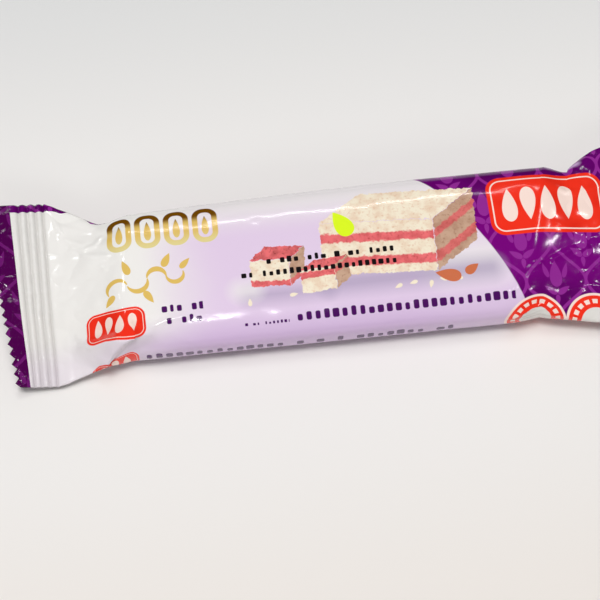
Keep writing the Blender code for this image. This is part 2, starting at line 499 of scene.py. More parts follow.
    def transition_ring(self, end: End, share: float) -> np.ndarray:
        """Return the points of a ring between the slab's end, at share 0, and the seal, at share 1."""
        forms = [self.flanks[end, side] for side in Side]
        distances = [blend(form.slab_end, self.seal_start, share) for form in forms]
        halves = tuple(self.half_width_at(end, side, x) for side, x in zip(Side, distances))
        sinking = blend(float(smooth(share)), share, 0.75 * smooth(share / 0.35))
        half_height = blend(self.body_height / 2, self.seal_thickness / 2, sinking)
        power = blend(self.body_power, self.waist_power, smooth(share / 0.4))
        power = float(blend(power, self.seal_power, smooth((share - 0.8) / 0.2)))
        folding = smooth(share / 0.3) * (1.0 - smooth((share - 0.35) / 0.4))
        tucks = tuple(form.tuck * folding for form in forms)
        pinches = tuple(form.pinch * folding for form in forms)
        across, up = self.ring(halves, half_height, power, tucks, pinches)
        place = (across + halves[0]) / sum(halves)
        middle = blend(self.middle, self.seal_middle(end, across, 0.0), smooth(share))
        crown = np.where(up > 0, self.crown * (1.0 - share), 0.0)
        x = end * blend(distances[0], distances[1], place)
        return np.stack([x, across, middle + up + crown], axis=1)

    def seal_ring(self, end: End, inward: float) -> np.ndarray:
        """Return the points of a ring of the seal, at a distance inward from the cut."""
        closing = min(1.0, inward / self.closing_run)
        halves = (self.reach(end, Side.NEAR), self.reach(end, Side.FAR))
        across, up = self.ring(halves, self.seal_thickness / 2, self.seal_power)
        out = 1.0 - inward / self.seal_length
        tooth_phase = np.abs(((np.arange(self.columns + 1) / self.columns_per_tooth) % 1.0) * 2.0 - 1.0)
        tooth = self.tooth_depth * (1.0 - tooth_phase) * max(0.0, 1.0 - inward / self.tooth_root)
        grown = min(1.0, (self.seal_length - inward) / (self.seal_length - self.tooth_root)) ** self.skew_bend
        skew = self.cut_skew * across / self.half_flat * grown
        rib = -self.rib_depth * self.groove(inward)
        flutter = self.flutter * out**2 * np.sin(across * 0.86 + 1.1 * end) * np.sin(across * 0.31 + 0.4)
        ripple = np.sin(across * 1.7 + 2.2 * np.sin(across * 0.7))
        flutter += self.fine_flutter * smooth((out - 0.55) / 0.3) * ripple
        middle = self.seal_middle(end, across, out)
        x = end * (self.half_length - inward - tooth) - skew
        return np.stack([x, across, middle + up * closing + rib + flutter], axis=1)

    def groove(self, inward: float) -> float:
        """Return how deep between a seal's ribs the film lies, from 0 to 1, this far inward from the cut."""
        share = (self.seal_length - inward) / self.rib_pitch
        depth = 1.0 - abs(math.cos(math.pi * (share + self.rib_phase))) ** self.rib_power
        return float(depth * smooth(share / 0.2) * smooth((self.rib_count - share) / 0.4))

    def seal_steps(self) -> np.ndarray:
        """Return how far inward from the cut each row of a seal lies, from the innermost row out."""
        return np.linspace(self.seal_length, 0.0, self.seal_rows + 1)[1:]

    def rings(self) -> np.ndarray:
        """Return the rings of the smooth form as one array of points: ring, column, axis."""
        ends: dict[End, list[np.ndarray]] = {}
        for end in End:
            steps = np.linspace(0.0, 1.0, self.transition_rows + 1)[1:]
            transition = [self.transition_ring(end, float(step)) for step in steps]
            ends[end] = transition + [self.seal_ring(end, float(inward)) for inward in self.seal_steps()]
        body = [self.body_ring(float(share)) for share in np.linspace(0.0, 1.0, self.body_rows + 1)]
        return np.array(ends[End.LEFT][::-1] + body + ends[End.RIGHT])

    def creased(self, points: np.ndarray) -> np.ndarray:
        """Return the rings with the film's relief, kept off the floor and at most top_play over level_top.

        Args:
            points: The rings of the smooth form.

        Returns:
            The same rings, each point moved along the film's normal by the relief there.
        """
        lengthwise = np.gradient(points, axis=0)
        wrapped = np.concatenate([points[:, -2:-1], points, points[:, 1:2]], axis=1)
        crosswise = (wrapped[:, 2:] - wrapped[:, :-2]) / 2.0
        normal = np.cross(crosswise, lengthwise)
        normal /= np.maximum(np.linalg.norm(normal, axis=2, keepdims=True), 1e-9)
        outward = np.where(normal[len(points) // 2, self.columns // 2, 2] > 0.0, 1.0, -1.0)
        around = np.broadcast_to(self.around_values(), points.shape[:2])
        relief = FilmRelief(self.seal_start)
        lift = relief.lift(points[:, :, 0], around)
        lift[:, -1] = lift[:, 0]
        moved = points + outward * normal * lift[:, :, None]
        above = np.maximum(moved[:, :, 2] - self.level_top, 0.0)
        moved[:, :, 2] -= above - self.top_play * np.tanh(above / self.top_play)
        moved[:, :, 2] = np.maximum(moved[:, :, 2], self.rest_height)
        return moved

    def print_places(self, points: np.ndarray) -> np.ndarray:
        """Return the film coordinates of the print on each place of the smooth form.

        On the far half of the front the print keeps its true width, and the film to spare lies in the
        side fold.
        """
        around = np.tile(self.around_values(), (len(points), 1))
        middle = self.columns // 2
        front = slice(middle, middle + self.columns // 4 + 1)
        steps = np.linalg.norm(np.diff(points[:, front, 1:], axis=1), axis=2)
        run = np.concatenate([np.zeros((len(points), 1)), np.cumsum(steps, axis=1)], axis=1)
        whole = run[:, -1:]
        around[:, front] = run + (self.side_fold - whole) * smooth((run / whole - 0.85) / 0.15)
        return np.stack([points[:, :, 0], around], axis=2)

    def relief_shares(self, points: np.ndarray) -> np.ndarray:
        """Return how deep in a groove each place lies and whether it is on a seal, both from 0 to 1."""
        grooves = np.array([self.groove(float(inward)) for inward in self.seal_steps()])
        out = np.abs(points[:, self.columns // 2, 0])
        shares = np.zeros((*points.shape[:2], 2))
        shares[:self.seal_rows, :, 0] = grooves[::-1, None]
        shares[-self.seal_rows:, :, 0] = grooves[:, None]
        shares[:, :, 1] = smooth((out - self.seal_start + 1.0) / 1.5)[:, None]
        return shares

    def build(self) -> bpy.types.Object:
        """Bend the film into its tube and close it.

        Returns:
            The film's object, at the origin, with its place in its mesh.
        """
        smooth_points = self.rings()
        maps = {PRINT_MAP: self.print_places(smooth_points), RELIEF_MAP: self.relief_shares(smooth_points)}
        film = bent_grid("film", self.creased(smooth_points), maps)
        bpy.ops.object.mode_set(mode="EDIT")
        bpy.ops.mesh.select_all(action="SELECT")
        bpy.ops.mesh.remove_doubles(threshold=MERGE_DISTANCE_M)
        bpy.ops.mesh.normals_make_consistent(inside=False)
        bpy.ops.object.mode_set(mode="OBJECT")
        bpy.ops.object.shade_smooth()
        return film


@dataclass
class BackSeam:
    """The long seam: the film's two edges sealed together and folded flat against the underside."""

    width: float = 10.0
    thickness: float = 0.17
    gap: float = 0.03
    rib_pitch: float = 1.1
    rib_depth: float = 0.03
    columns: int = 24

    def build(self, film: FilmTube) -> bpy.types.Object:
        """Make the seam's strip along the film's underside.

        Args:
            film: The film that the seam lies under.

        Returns:
            The seam's object, at the origin, with its place in its mesh.
        """
        points = film.creased(film.rings())
        reach = film.columns // 8
        under = np.concatenate([points[:, -reach - 1:-1], points[:, :reach + 1]], axis=1)[:, ::-1]
        lines = np.linspace(-self.width / 2, self.width / 2, self.columns + 1)
        x = np.array([np.interp(lines, ring[:, 1], ring[:, 0]) for ring in under])
        z = np.array([np.interp(lines, ring[:, 1], ring[:, 2]) for ring in under])
        across = np.broadcast_to(lines, x.shape)
        ribs = self.rib_depth * np.sin(across * 2.0 * math.pi / self.rib_pitch)
        height = np.maximum(z - self.gap - self.thickness - self.rib_depth + ribs, self.rib_depth + ribs)
        places = np.stack([x, 2.0 * film.side_fold - across], axis=2)
        seam = bent_grid("back_seam", np.stack([x, across, height], axis=2), {PRINT_MAP: places})
        wall = seam.modifiers.new("wall", "SOLIDIFY")
        wall.thickness = self.thickness * MM
        wall.offset = 1.0
        bpy.ops.object.modifier_apply(modifier=wall.name)
        bpy.ops.object.shade_smooth_by_angle(angle=math.radians(50.0))
        return seam


class SocketKind(Enum):
    """What a group's socket carries. The names are those that a socket gives as its type."""

    VALUE = "NodeSocketFloat"
    VECTOR = "NodeSocketVector"
    RGBA = "NodeSocketColor"


NUMBER, VECTOR, COLOUR = SocketKind


class Term:
    """A number, vector or colour inside a node tree. A sum on terms adds a node to the tree."""

    def __init__(self, sheet: "NodeSheet", socket: bpy.types.NodeSocket) -> None:
        """Keep the socket that gives the value."""
        self.sheet = sheet
        self.socket = socket

    def sum(self, operation: str, *values: "Value") -> "Term":
        """Return the result of a sum, which works on vectors where this term is one."""
        is_number = self.socket.type == NUMBER.name
        return self.sheet.math(operation, *values) if is_number else self.sheet.vector(operation, *values)

    def __add__(self, other: "Value") -> "Term":
        """Return this value with another added."""
        return self.sum("ADD", self, other)

    def __sub__(self, other: "Value") -> "Term":
        """Return this value less another."""
        return self.sum("SUBTRACT", self, other)

    def __rsub__(self, other: "Value") -> "Term":
        """Return another value less this one."""
        return self.sum("SUBTRACT", other, self)

    def __mul__(self, other: "Value") -> "Term":
        """Return this value times another."""
        return self.sum("MULTIPLY", self, other)

    def __truediv__(self, other: "Value") -> "Term":
        """Return this value divided by another."""
        return self.sum("DIVIDE", self, other)

    def __rtruediv__(self, other: "Value") -> "Term":
        """Return another value divided by this one."""
        return self.sum("DIVIDE", other, self)

    def __abs__(self) -> "Term":
        """Return this value without its sign."""
        return self.sum("ABSOLUTE", self)


Value = Term | float | tuple[float, ...]
Results = dict[str, Term]


class NodeSheet:
    """A node tree that a pattern is written into, one step after another."""

    def __init__(self, tree: bpy.types.NodeTree) -> None:
        """Keep the tree that the steps go into."""
        self.tree = tree

    def give(self, socket: bpy.types.NodeSocket, value: Value) -> None:
        """Give a socket its value, which a term brings along a link."""
        if isinstance(value, Term):
            self.tree.links.new(value.socket, socket)
        else:
            socket.default_value = value

    def node(self, kind: str, values: dict[int | str, Value], **settings: object) -> bpy.types.Node:
        """Add a node.

        Args:
            kind: Blender's name for the kind of node.
            values: What each of its sockets takes, by number or name.
            settings: Its other settings, by name.

        Returns:
            The node.
        """
        node = self.tree.nodes.new(kind)
        for name, setting in settings.items():
            setattr(node, name, setting)
        for key, value in values.items():
            self.give(node.inputs[key], value)
        return node

    def step(self, kind: str, values: dict, output: int | str = 0, **settings: object) -> Term:
        """Add a node and return one of its outputs."""
        return Term(self, self.node(kind, values, **settings).outputs[output])

    def math(self, operation: str, *values: Value, clamp: bool = False) -> Term:
        """Return the result of a sum on numbers."""
        return self.step("ShaderNodeMath", dict(enumerate(values)), operation=operation, use_clamp=clamp)

    def vector(self, operation: str, *values: Value) -> Term:
        """Return the result of a sum on vectors, which is a number where the operation measures."""
        output = "Value" if operation in ("LENGTH", "DOT_PRODUCT") else "Vector"
        return self.step("ShaderNodeVectorMath", dict(enumerate(values)), output, operation=operation)

    def split(self, vector: Value) -> tuple[Term, Term]:
        """Return a vector's first two parts."""
        first = self.vector("DOT_PRODUCT", vector, (1.0, 0.0, 0.0))
        return first, self.vector("DOT_PRODUCT", vector, (0.0, 1.0, 0.0))

    def join(self, first: Value, second: Value) -> Term:
        """Return the vector that has these two parts, and 0 for its third."""
        return self.step("ShaderNodeCombineXYZ", {0: first, 1: second})

    def length(self, vector: Value) -> Term:
        """Return a vector's length."""
        return self.vector("LENGTH", vector)

    def positive(self, vector: Value) -> Term:
        """Return a vector with 0 for each part that was negative."""
        return self.vector("MAXIMUM", vector, (0.0, 0.0, 0.0))

    def edge(self, depth: Value, soft: Value) -> Term:
        """Return a mask that rises from 0 to 1 while the depth inside a shape grows from 0 to soft."""
        return self.math("DIVIDE", depth, soft, clamp=True)

    def mix(self, under: Value, over: Value, share: Value) -> Term:
        """Return the colour under with the colour over laid on it by a share."""
        node = self.node("ShaderNodeMix", {}, data_type="RGBA")
        sockets = {socket.identifier: socket for socket in node.inputs}
        for identifier, value in (("Factor_Float", share), ("A_Color", under), ("B_Color", over)):
            self.give(sockets[identifier], value)
        return Term(self, next(socket for socket in node.outputs if socket.identifier == "Result_Color"))

    def ramp(self, value: Value, low: float, high: float) -> Term:
        """Return a share that rises smoothly from 0 at low to 1 at high. low may be the larger number."""
        values = {"Value": value, "From Min": low, "From Max": high}
        return self.step("ShaderNodeMapRange", values, interpolation_type="SMOOTHSTEP")

    def noise(self, place: Value, size: float, detail: float = 2.0, output: str = "Fac") -> Term:
        """Return soft noise from about 0.2 to 0.8, whose blots are about size across."""
        values = {"Vector": place, "Scale": 1.0 / size, "Detail": detail}
        return self.step("ShaderNodeTexNoise", values, output)

    def pattern(self, group: "PatternGroup", **values: Value) -> SimpleNamespace:
        """Place a group, give its named inputs their values, and return its outputs by name."""
        node = self.node("ShaderNodeGroup", values, node_tree=group.tree())
        return SimpleNamespace(**{socket.name: Term(self, socket) for socket in node.outputs})


class PatternGroup:
    """A shader node group with named inputs and outputs, built once and placed wherever it is needed."""

    name = ""
    takes: dict[str, SocketKind] = {}

    def tree(self) -> bpy.types.NodeTree:
        """Return the group's tree, which is built on first use."""
        found = bpy.data.node_groups.get(self.name)
        if found:
            return found
        tree = bpy.data.node_groups.new(self.name, "ShaderNodeTree")
        for name, kind in self.takes.items():
            tree.interface.new_socket(name=name, in_out="INPUT", socket_type=kind.value)
        inputs = tree.nodes.new("NodeGroupInput")
        sheet = NodeSheet(tree)
        given = {name: Term(sheet, inputs.outputs[name]) for name in self.takes}
        results = self.fill(sheet, SimpleNamespace(**given))
        for name, result in results.items():
            kind = SocketKind[result.socket.type]
            tree.interface.new_socket(name=name, in_out="OUTPUT", socket_type=kind.value)
        sheet.node("NodeGroupOutput", results)
        return tree

    def fill(self, sheet: NodeSheet, given: SimpleNamespace) -> Results:
        """Write the group's steps.

        Args:
            sheet: The group's tree.
            given: The group's inputs by name.

        Returns:
            What each output takes, by name.
        """
        raise NotImplementedError


class PanelShape(PatternGroup):
    """A rectangle with round corners. A disc is one whose corners are half its size."""

    name = "panel_shape"
    takes = {"place": VECTOR, "centre": VECTOR, "size": VECTOR, "corner": NUMBER, "soft": NUMBER}

    def fill(self, sheet: NodeSheet, given: SimpleNamespace) -> Results:
        """Measure how deep a place lies inside the panel."""
        straight = given.size * (0.5, 0.5, 0.0) - sheet.join(given.corner, given.corner)
        past = abs(given.place - given.centre) - straight
        inside = sheet.math("MINIMUM", sheet.math("MAXIMUM", *sheet.split(past)), 0.0)
        depth = given.corner - (sheet.length(sheet.positive(past)) + inside)
        return {"mask": sheet.math("ADD", depth / given.soft, 0.5, clamp=True), "depth": depth}


class DropShape(PatternGroup):
    """A drop, like a sesame seed: round at its foot and pointed at its tip."""

    name = "drop_shape"
    takes = {"place": VECTOR, "centre": VECTOR, "length": NUMBER, "breadth": NUMBER, "turn": NUMBER}
    fullest = 2.6
    soft = 0.1

    def fill(self, sheet: NodeSheet, given: SimpleNamespace) -> Results:
        """Compare the distance from the drop's middle line with its half breadth there."""
        values = {"Vector": given.place, "Center": given.centre, "Angle": given.turn}
        turned = sheet.step("ShaderNodeVectorRotate", values, rotation_type="Z_AXIS", invert=True)
        across, along = sheet.split(turned - given.centre)
        share = sheet.math("ADD", along / given.length, 0.5, clamp=True)
        swell = sheet.math("SQRT", share) * (1.0 - share)
        half = swell * (self.fullest / 2) * given.breadth
        return {"mask": sheet.edge(half - abs(across), self.soft)}


@dataclass(frozen=True)
class Drop:
    """A drop's middle, its size and its turn in radians."""

    centre: Place
    length: float
    breadth: float
    turn: Value = 0.0

    def mask(self, sheet: NodeSheet, place: Value) -> Term:
        """Return 1 inside the drop and 0 outside it."""
        values = {"length": self.length, "breadth": self.breadth, "turn": self.turn}
        return sheet.pattern(DropShape(), place=place, centre=(*self.centre, 0.0), **values).mask


class RowPlace(PatternGroup):
    """A row of equal cells. It gives the place about its own cell's middle, and 1 in every other cell."""

    name = "row_place"
    takes = {"place": VECTOR, "centre": VECTOR, "pitch": NUMBER, "count": NUMBER}

    def fill(self, sheet: NodeSheet, given: SimpleNamespace) -> Results:
        """Number the cells from the row's left end, and measure from the middle of each."""
        across, up = sheet.split(given.place - given.centre)
        half_count = given.count * 0.5
        cells = sheet.math("FLOOR", across / given.pitch + half_count)
        cell = sheet.math("MINIMUM", sheet.math("MAXIMUM", cells, 0.0), given.count - 1.0)
        from_middle = across - (cell - half_count + 0.5) * given.pitch
        return {"place": sheet.join(from_middle, up), "odd": sheet.math("FLOORED_MODULO", cell, 2.0)}


class BrushArc(PatternGroup):
    """A round brush stroke that is thin at both ends and full in the middle."""

    name = "brush_arc"
    takes = dict.fromkeys(("place", "centre"), VECTOR)
    takes |= dict.fromkeys(("radius", "breadth", "start", "sweep"), NUMBER)
    thin_share = 0.25
    drawn_share = 0.999
    soft = 0.1

    def fill(self, sheet: NodeSheet, given: SimpleNamespace) -> Results:
        """Compare the distance from the arc with the stroke's half breadth there. Angles are in radians."""
        away = given.place - given.centre
        across, up = sheet.split(away)
        angle = sheet.math("ARCTAN2", up, across) - given.start
        turned = sheet.math("FLOORED_MODULO", angle, 2.0 * math.pi)
        share = sheet.math("MINIMUM", turned / given.sweep, 1.0)
        fullness = sheet.math("SINE", share * math.pi) * (1.0 - self.thin_share) + self.thin_share
        inside = fullness * given.breadth * 0.5 - abs(sheet.length(away) - given.radius)
        drawn = sheet.math("LESS_THAN", share, self.drawn_share)
        return {"mask": sheet.edge(inside * drawn, self.soft)}


class DashRing(PatternGroup):
    """A ring of equal dashes."""

    name = "dash_ring"
    takes = {"place": VECTOR, "centre": VECTOR, "radius": NUMBER, "breadth": NUMBER, "count": NUMBER}
    dash_share = 0.62
    soft = 0.1

    def fill(self, sheet: NodeSheet, given: SimpleNamespace) -> Results:
        """Number the angle in dashes, and compare the distance from the ring with its half breadth."""
        away = given.place - given.centre
        across, up = sheet.split(away)
        turns = sheet.math("ARCTAN2", up, across) / (2.0 * math.pi)
        dash = sheet.math("FRACT", (turns + 1.0) * given.count)
        drawn = sheet.math("LESS_THAN", dash, self.dash_share)
        inside = given.breadth * 0.5 - abs(sheet.length(away) - given.radius)
        return {"mask": sheet.edge(inside, self.soft) * drawn}


class DashRow(PatternGroup):
    """A row of short bars of uneven length, in place of a line of small print."""

    name = "dash_row"
    takes = {"place": VECTOR} | dict.fromkeys(("start", "end", "level", "height", "pitch", "seed"), NUMBER)
    seed_shifts = (0.0, 50.0)
    narrowest = 0.52
    width_spread = 0.36
    lowest = 0.7
    height_spread = 0.4
    gap_share = 0.1
    corner_share = 0.22
    soft = 0.1

    def fill(self, sheet: NodeSheet, given: SimpleNamespace) -> Results:
        """Divide the row into cells, and draw a block of its own width and height in most of them."""
        along, around = sheet.split(given.place)
        cell_place = (along - given.start) / given.pitch
        cell = sheet.math("FLOOR", cell_place)
        first, second = (
            sheet.step("ShaderNodeTexWhiteNoise", {"W": cell + (given.seed + shift)}, noise_dimensions="1D")
            for shift in self.seed_shifts
        )
        half_wide = (first * self.width_spread + self.narrowest) * 0.5
        half_tall = (second * self.height_spread + self.lowest) * given.height * 0.5
        sideways = (abs(cell_place - cell - 0.5) - half_wide) * given.pitch
        above_foot = around - given.level + given.height * 0.5
        upward = abs(above_foot - half_tall) - half_tall
        corner = given.height * self.corner_share
        past = sheet.join(sideways, upward) + sheet.join(corner, corner)
        mask = sheet.edge(corner - sheet.length(sheet.positive(past)), self.soft)
        within = sheet.math("GREATER_THAN", along, given.start) * sheet.math("LESS_THAN", along, given.end)
        return {"mask": mask * within * sheet.math("GREATER_THAN", second, self.gap_share)}


class SlabFace(PatternGroup):
    """A slanted four-sided face with a crumbled edge, for a drawing of cut halva."""

    name = "slab_face"
    takes = {"place": VECTOR, "corner": VECTOR, "along": VECTOR, "up": VECTOR, "crumble": NUMBER}
    crumb = 0.9
    soft = 0.12

    def fill(self, sheet: NodeSheet, given: SimpleNamespace) -> Results:
        """Read the place as shares of the face's two edges, after shaking it a little."""
        shaken = sheet.noise(given.place, self.crumb, output="Color") - (0.5, 0.5, 0.5)
        shake = sheet.step("ShaderNodeVectorMath", {0: shaken, "Scale": given.crumble}, operation="SCALE")
        away = given.place - given.corner + shake
        area = self.turned_product(sheet, given.along, given.up)
        along = self.turned_product(sheet, away, given.up) / area
        up = self.turned_product(sheet, given.along, away) / area
        masks = [
            sheet.edge(sheet.math("MINIMUM", share, 1.0 - share) * sheet.length(edge), self.soft)
            for share, edge in ((along, given.along), (up, given.up))
        ]
        return {"mask": masks[0] * masks[1], "height": up}

    @staticmethod
    def turned_product(sheet: NodeSheet, first: Value, second: Value) -> Term:
        """Return the area that two flat vectors span, with its sign."""
        x0, y0 = sheet.split(first)
        x1, y1 = sheet.split(second)
        return x0 * y1 - y0 * x1


class OgeeLattice(PatternGroup):
    """A traditional lattice of ogee curves with a bud and its leaves in each field."""

    name = "ogee_lattice"
    takes = {"place": VECTOR, "cell": VECTOR, "line": NUMBER}
    soft = 0.12
    motif = (
        Drop((0.0, 1.3), 6.4, 2.9),
        Drop((1.5, -2.6), 3.4, 1.5, -0.95),
        Drop((2.3, 2.2), 4.0, 1.2, -0.30),
        Drop((0.0, -5.0), 2.6, 1.1, math.pi),
    )

    def fill(self, sheet: NodeSheet, given: SimpleNamespace) -> Results:
        """Fold the plane into one field of the lattice, and draw the curve and the bud in it."""
        wide, tall = sheet.split(given.cell)
        half_wide, half_tall = wide * 0.5, tall * 0.5
        x, y = sheet.split(given.place)
        across = abs(sheet.math("FLOORED_MODULO", x + half_wide, wide) - half_wide)
        wave = sheet.math("COSINE", y * (2.0 * math.pi) / tall)
        past = across - (wave + 1.0) * (wide * 0.25)
        steepest = wide * (math.pi / 2.0) / tall
        steep = steepest * steepest * (1.0 - wave * wave)
        away = abs(past) / sheet.math("SQRT", steep + 1.0)
        mask = sheet.edge(given.line * 0.5 - away, self.soft)
        outer = sheet.math("GREATER_THAN", past, 0.0)
        bud_x = abs(across - outer * half_wide)
        bud_y = sheet.math("FLOORED_MODULO", y + outer * half_tall + half_tall, tall) - half_tall
        bud_place = sheet.join(bud_x, bud_y)
        for leaf in self.motif:
            mask = sheet.math("MAXIMUM", mask, leaf.mask(sheet, bud_place))
        return {"mask": mask}


class SeedScatter(PatternGroup):
    """Scattered drops the size of sesame seeds, lying every way."""

    name = "seed_scatter"
    takes = {"place": VECTOR, "spacing": NUMBER, "share": NUMBER}
    length = 1.9
    breadth = 1.0
    unevenness = 0.7

    def fill(self, sheet: NodeSheet, given: SimpleNamespace) -> Results:
        """Lay one drop in each cell that is drawn, turned by the cell's own number."""
        values = {"Vector": given.place, "Scale": 1.0 / given.spacing, "Randomness": self.unevenness}
        cells = sheet.node("ShaderNodeTexVoronoi", values, voronoi_dimensions="2D").outputs
        red, green = sheet.split(Term(sheet, cells["Color"]))
        form = {"length": self.length, "breadth": self.breadth, "turn": red * (2.0 * math.pi)}
        drop = sheet.pattern(DropShape(), place=given.place, centre=Term(sheet, cells["Position"]), **form)
        return {"mask": drop.mask * sheet.math("LESS_THAN", green, given.share)}


class HalvaCrumb(PatternGroup):
    """The broken, layered grain of cut halva, as a colour between a light and a dark one."""

    name = "halva_crumb"
    takes = {"place": VECTOR, "light": COLOUR, "dark": COLOUR}
    flake_size = 2.4
    flake_shade = 0.42
    grain_size = 0.7
    grain_shade = 0.55

    def fill(self, sheet: NodeSheet, given: SimpleNamespace) -> Results:
        """Shade by slow flakes, and deepen by fine grain."""
        flakes = sheet.ramp(sheet.noise(given.place, self.flake_size, 3.0), 0.38, 0.68)
        grain = sheet.ramp(sheet.noise(given.place, self.grain_size), 0.52, 0.74)
        colour = sheet.mix(given.light, given.dark, flakes * self.flake_shade)
        return {"colour": sheet.mix(colour, given.dark, grain * self.grain_shade)}


@dataclass(frozen=True)
class Panel:
    """A rectangle with round corners, whose edge is blurred over soft."""

    centre: Place
    size: Place
    corner: float
    soft: float = 0.1

    @classmethod
    def disc(cls, centre: Place, radius: float, soft: float) -> "Panel":
        """Return the panel that is a disc."""
        return cls(centre, (2.0 * radius, 2.0 * radius), radius, soft)

    def drawn(self, sheet: NodeSheet, place: Value) -> SimpleNamespace:
        """Return the panel's mask and how deep the place lies inside it."""
        box = {"centre": (*self.centre, 0.0), "size": (*self.size, 0.0)}
        return sheet.pattern(PanelShape(), place=place, corner=self.corner, soft=self.soft, **box)


@dataclass(frozen=True)
class Plaque:
    """A red plaque with a pale keyline and a row of pale sesame drops."""

    panel: Panel
    keyline_inset: float
    keyline: float
    drops: int
    drop_size: Place
    drop_pitch: float


@dataclass(frozen=True)
class Badge:
    """A round red badge with a pale rim, a ring of dashes and a pale middle."""

    centre: Place
    radius: float
    rim: float = 0.5
    middle_radius: float = 3.6
    dash_radius: float = 5.0
    dash: float = 1.1
    dashes: float = 17.0


@dataclass(frozen=True)
class SmallPrint:
    """A line of dashes in place of small print."""

    start: float
    end: float
    level: float
    height: float
    pitch: float
    seed: float


@dataclass(frozen=True)
class HalvaPiece:
    """A drawn block of halva: its front's lower left corner, its edges along, up and back, and its layers."""

    corner: Place
    along: Place
    up: Place
    back: Place
    layers: tuple[Place, ...]
    crumble: float
    topped: bool = False


@dataclass(frozen=True)
class Stroke:
    """A round brush stroke of the gold flourish, with angles in degrees."""

    centre: Place
    radius: float
    breadth: float
    start_deg: float
    sweep_deg: float


class Artwork:
    """The print on the film, which is laid down one ink after another."""

    def __init__(self, sheet: NodeSheet, place: Term, ground: Value) -> None:
        """Start the print with its ground colour.

        Args:
            sheet: The material's nodes.
            place: The place on the film.
            ground: The colour under all inks.
        """
        self.sheet = sheet
        self.place = place
        self.along, self.around = sheet.split(place)
        self.colour = ground

    def lay(self, inked: Value, share: Value) -> None:
        """Lay an ink over the print by a share."""
        self.colour = self.sheet.mix(self.colour, inked, share)

    def panel(self, panel: Panel) -> SimpleNamespace:
        """Return a panel's mask and depth."""
        return panel.drawn(self.sheet, self.place)

    def lay_drop(self, inked: Value, drop: Drop) -> None:
        """Print a drop."""
        self.lay(inked, drop.mask(self.sheet, self.place))

    def lay_dashes(self, inked: Value, row: SmallPrint) -> None:
        """Print a row of dashes."""
        self.lay(inked, self.sheet.pattern(DashRow(), place=self.place, **vars(row)).mask)

    def window(self, low: Place, high: Place) -> Term:
        """Return a share that is 1 between two stretches along the film and falls to 0 through each."""
        return self.sheet.ramp(self.along, *low) * self.sheet.ramp(self.along, *high)


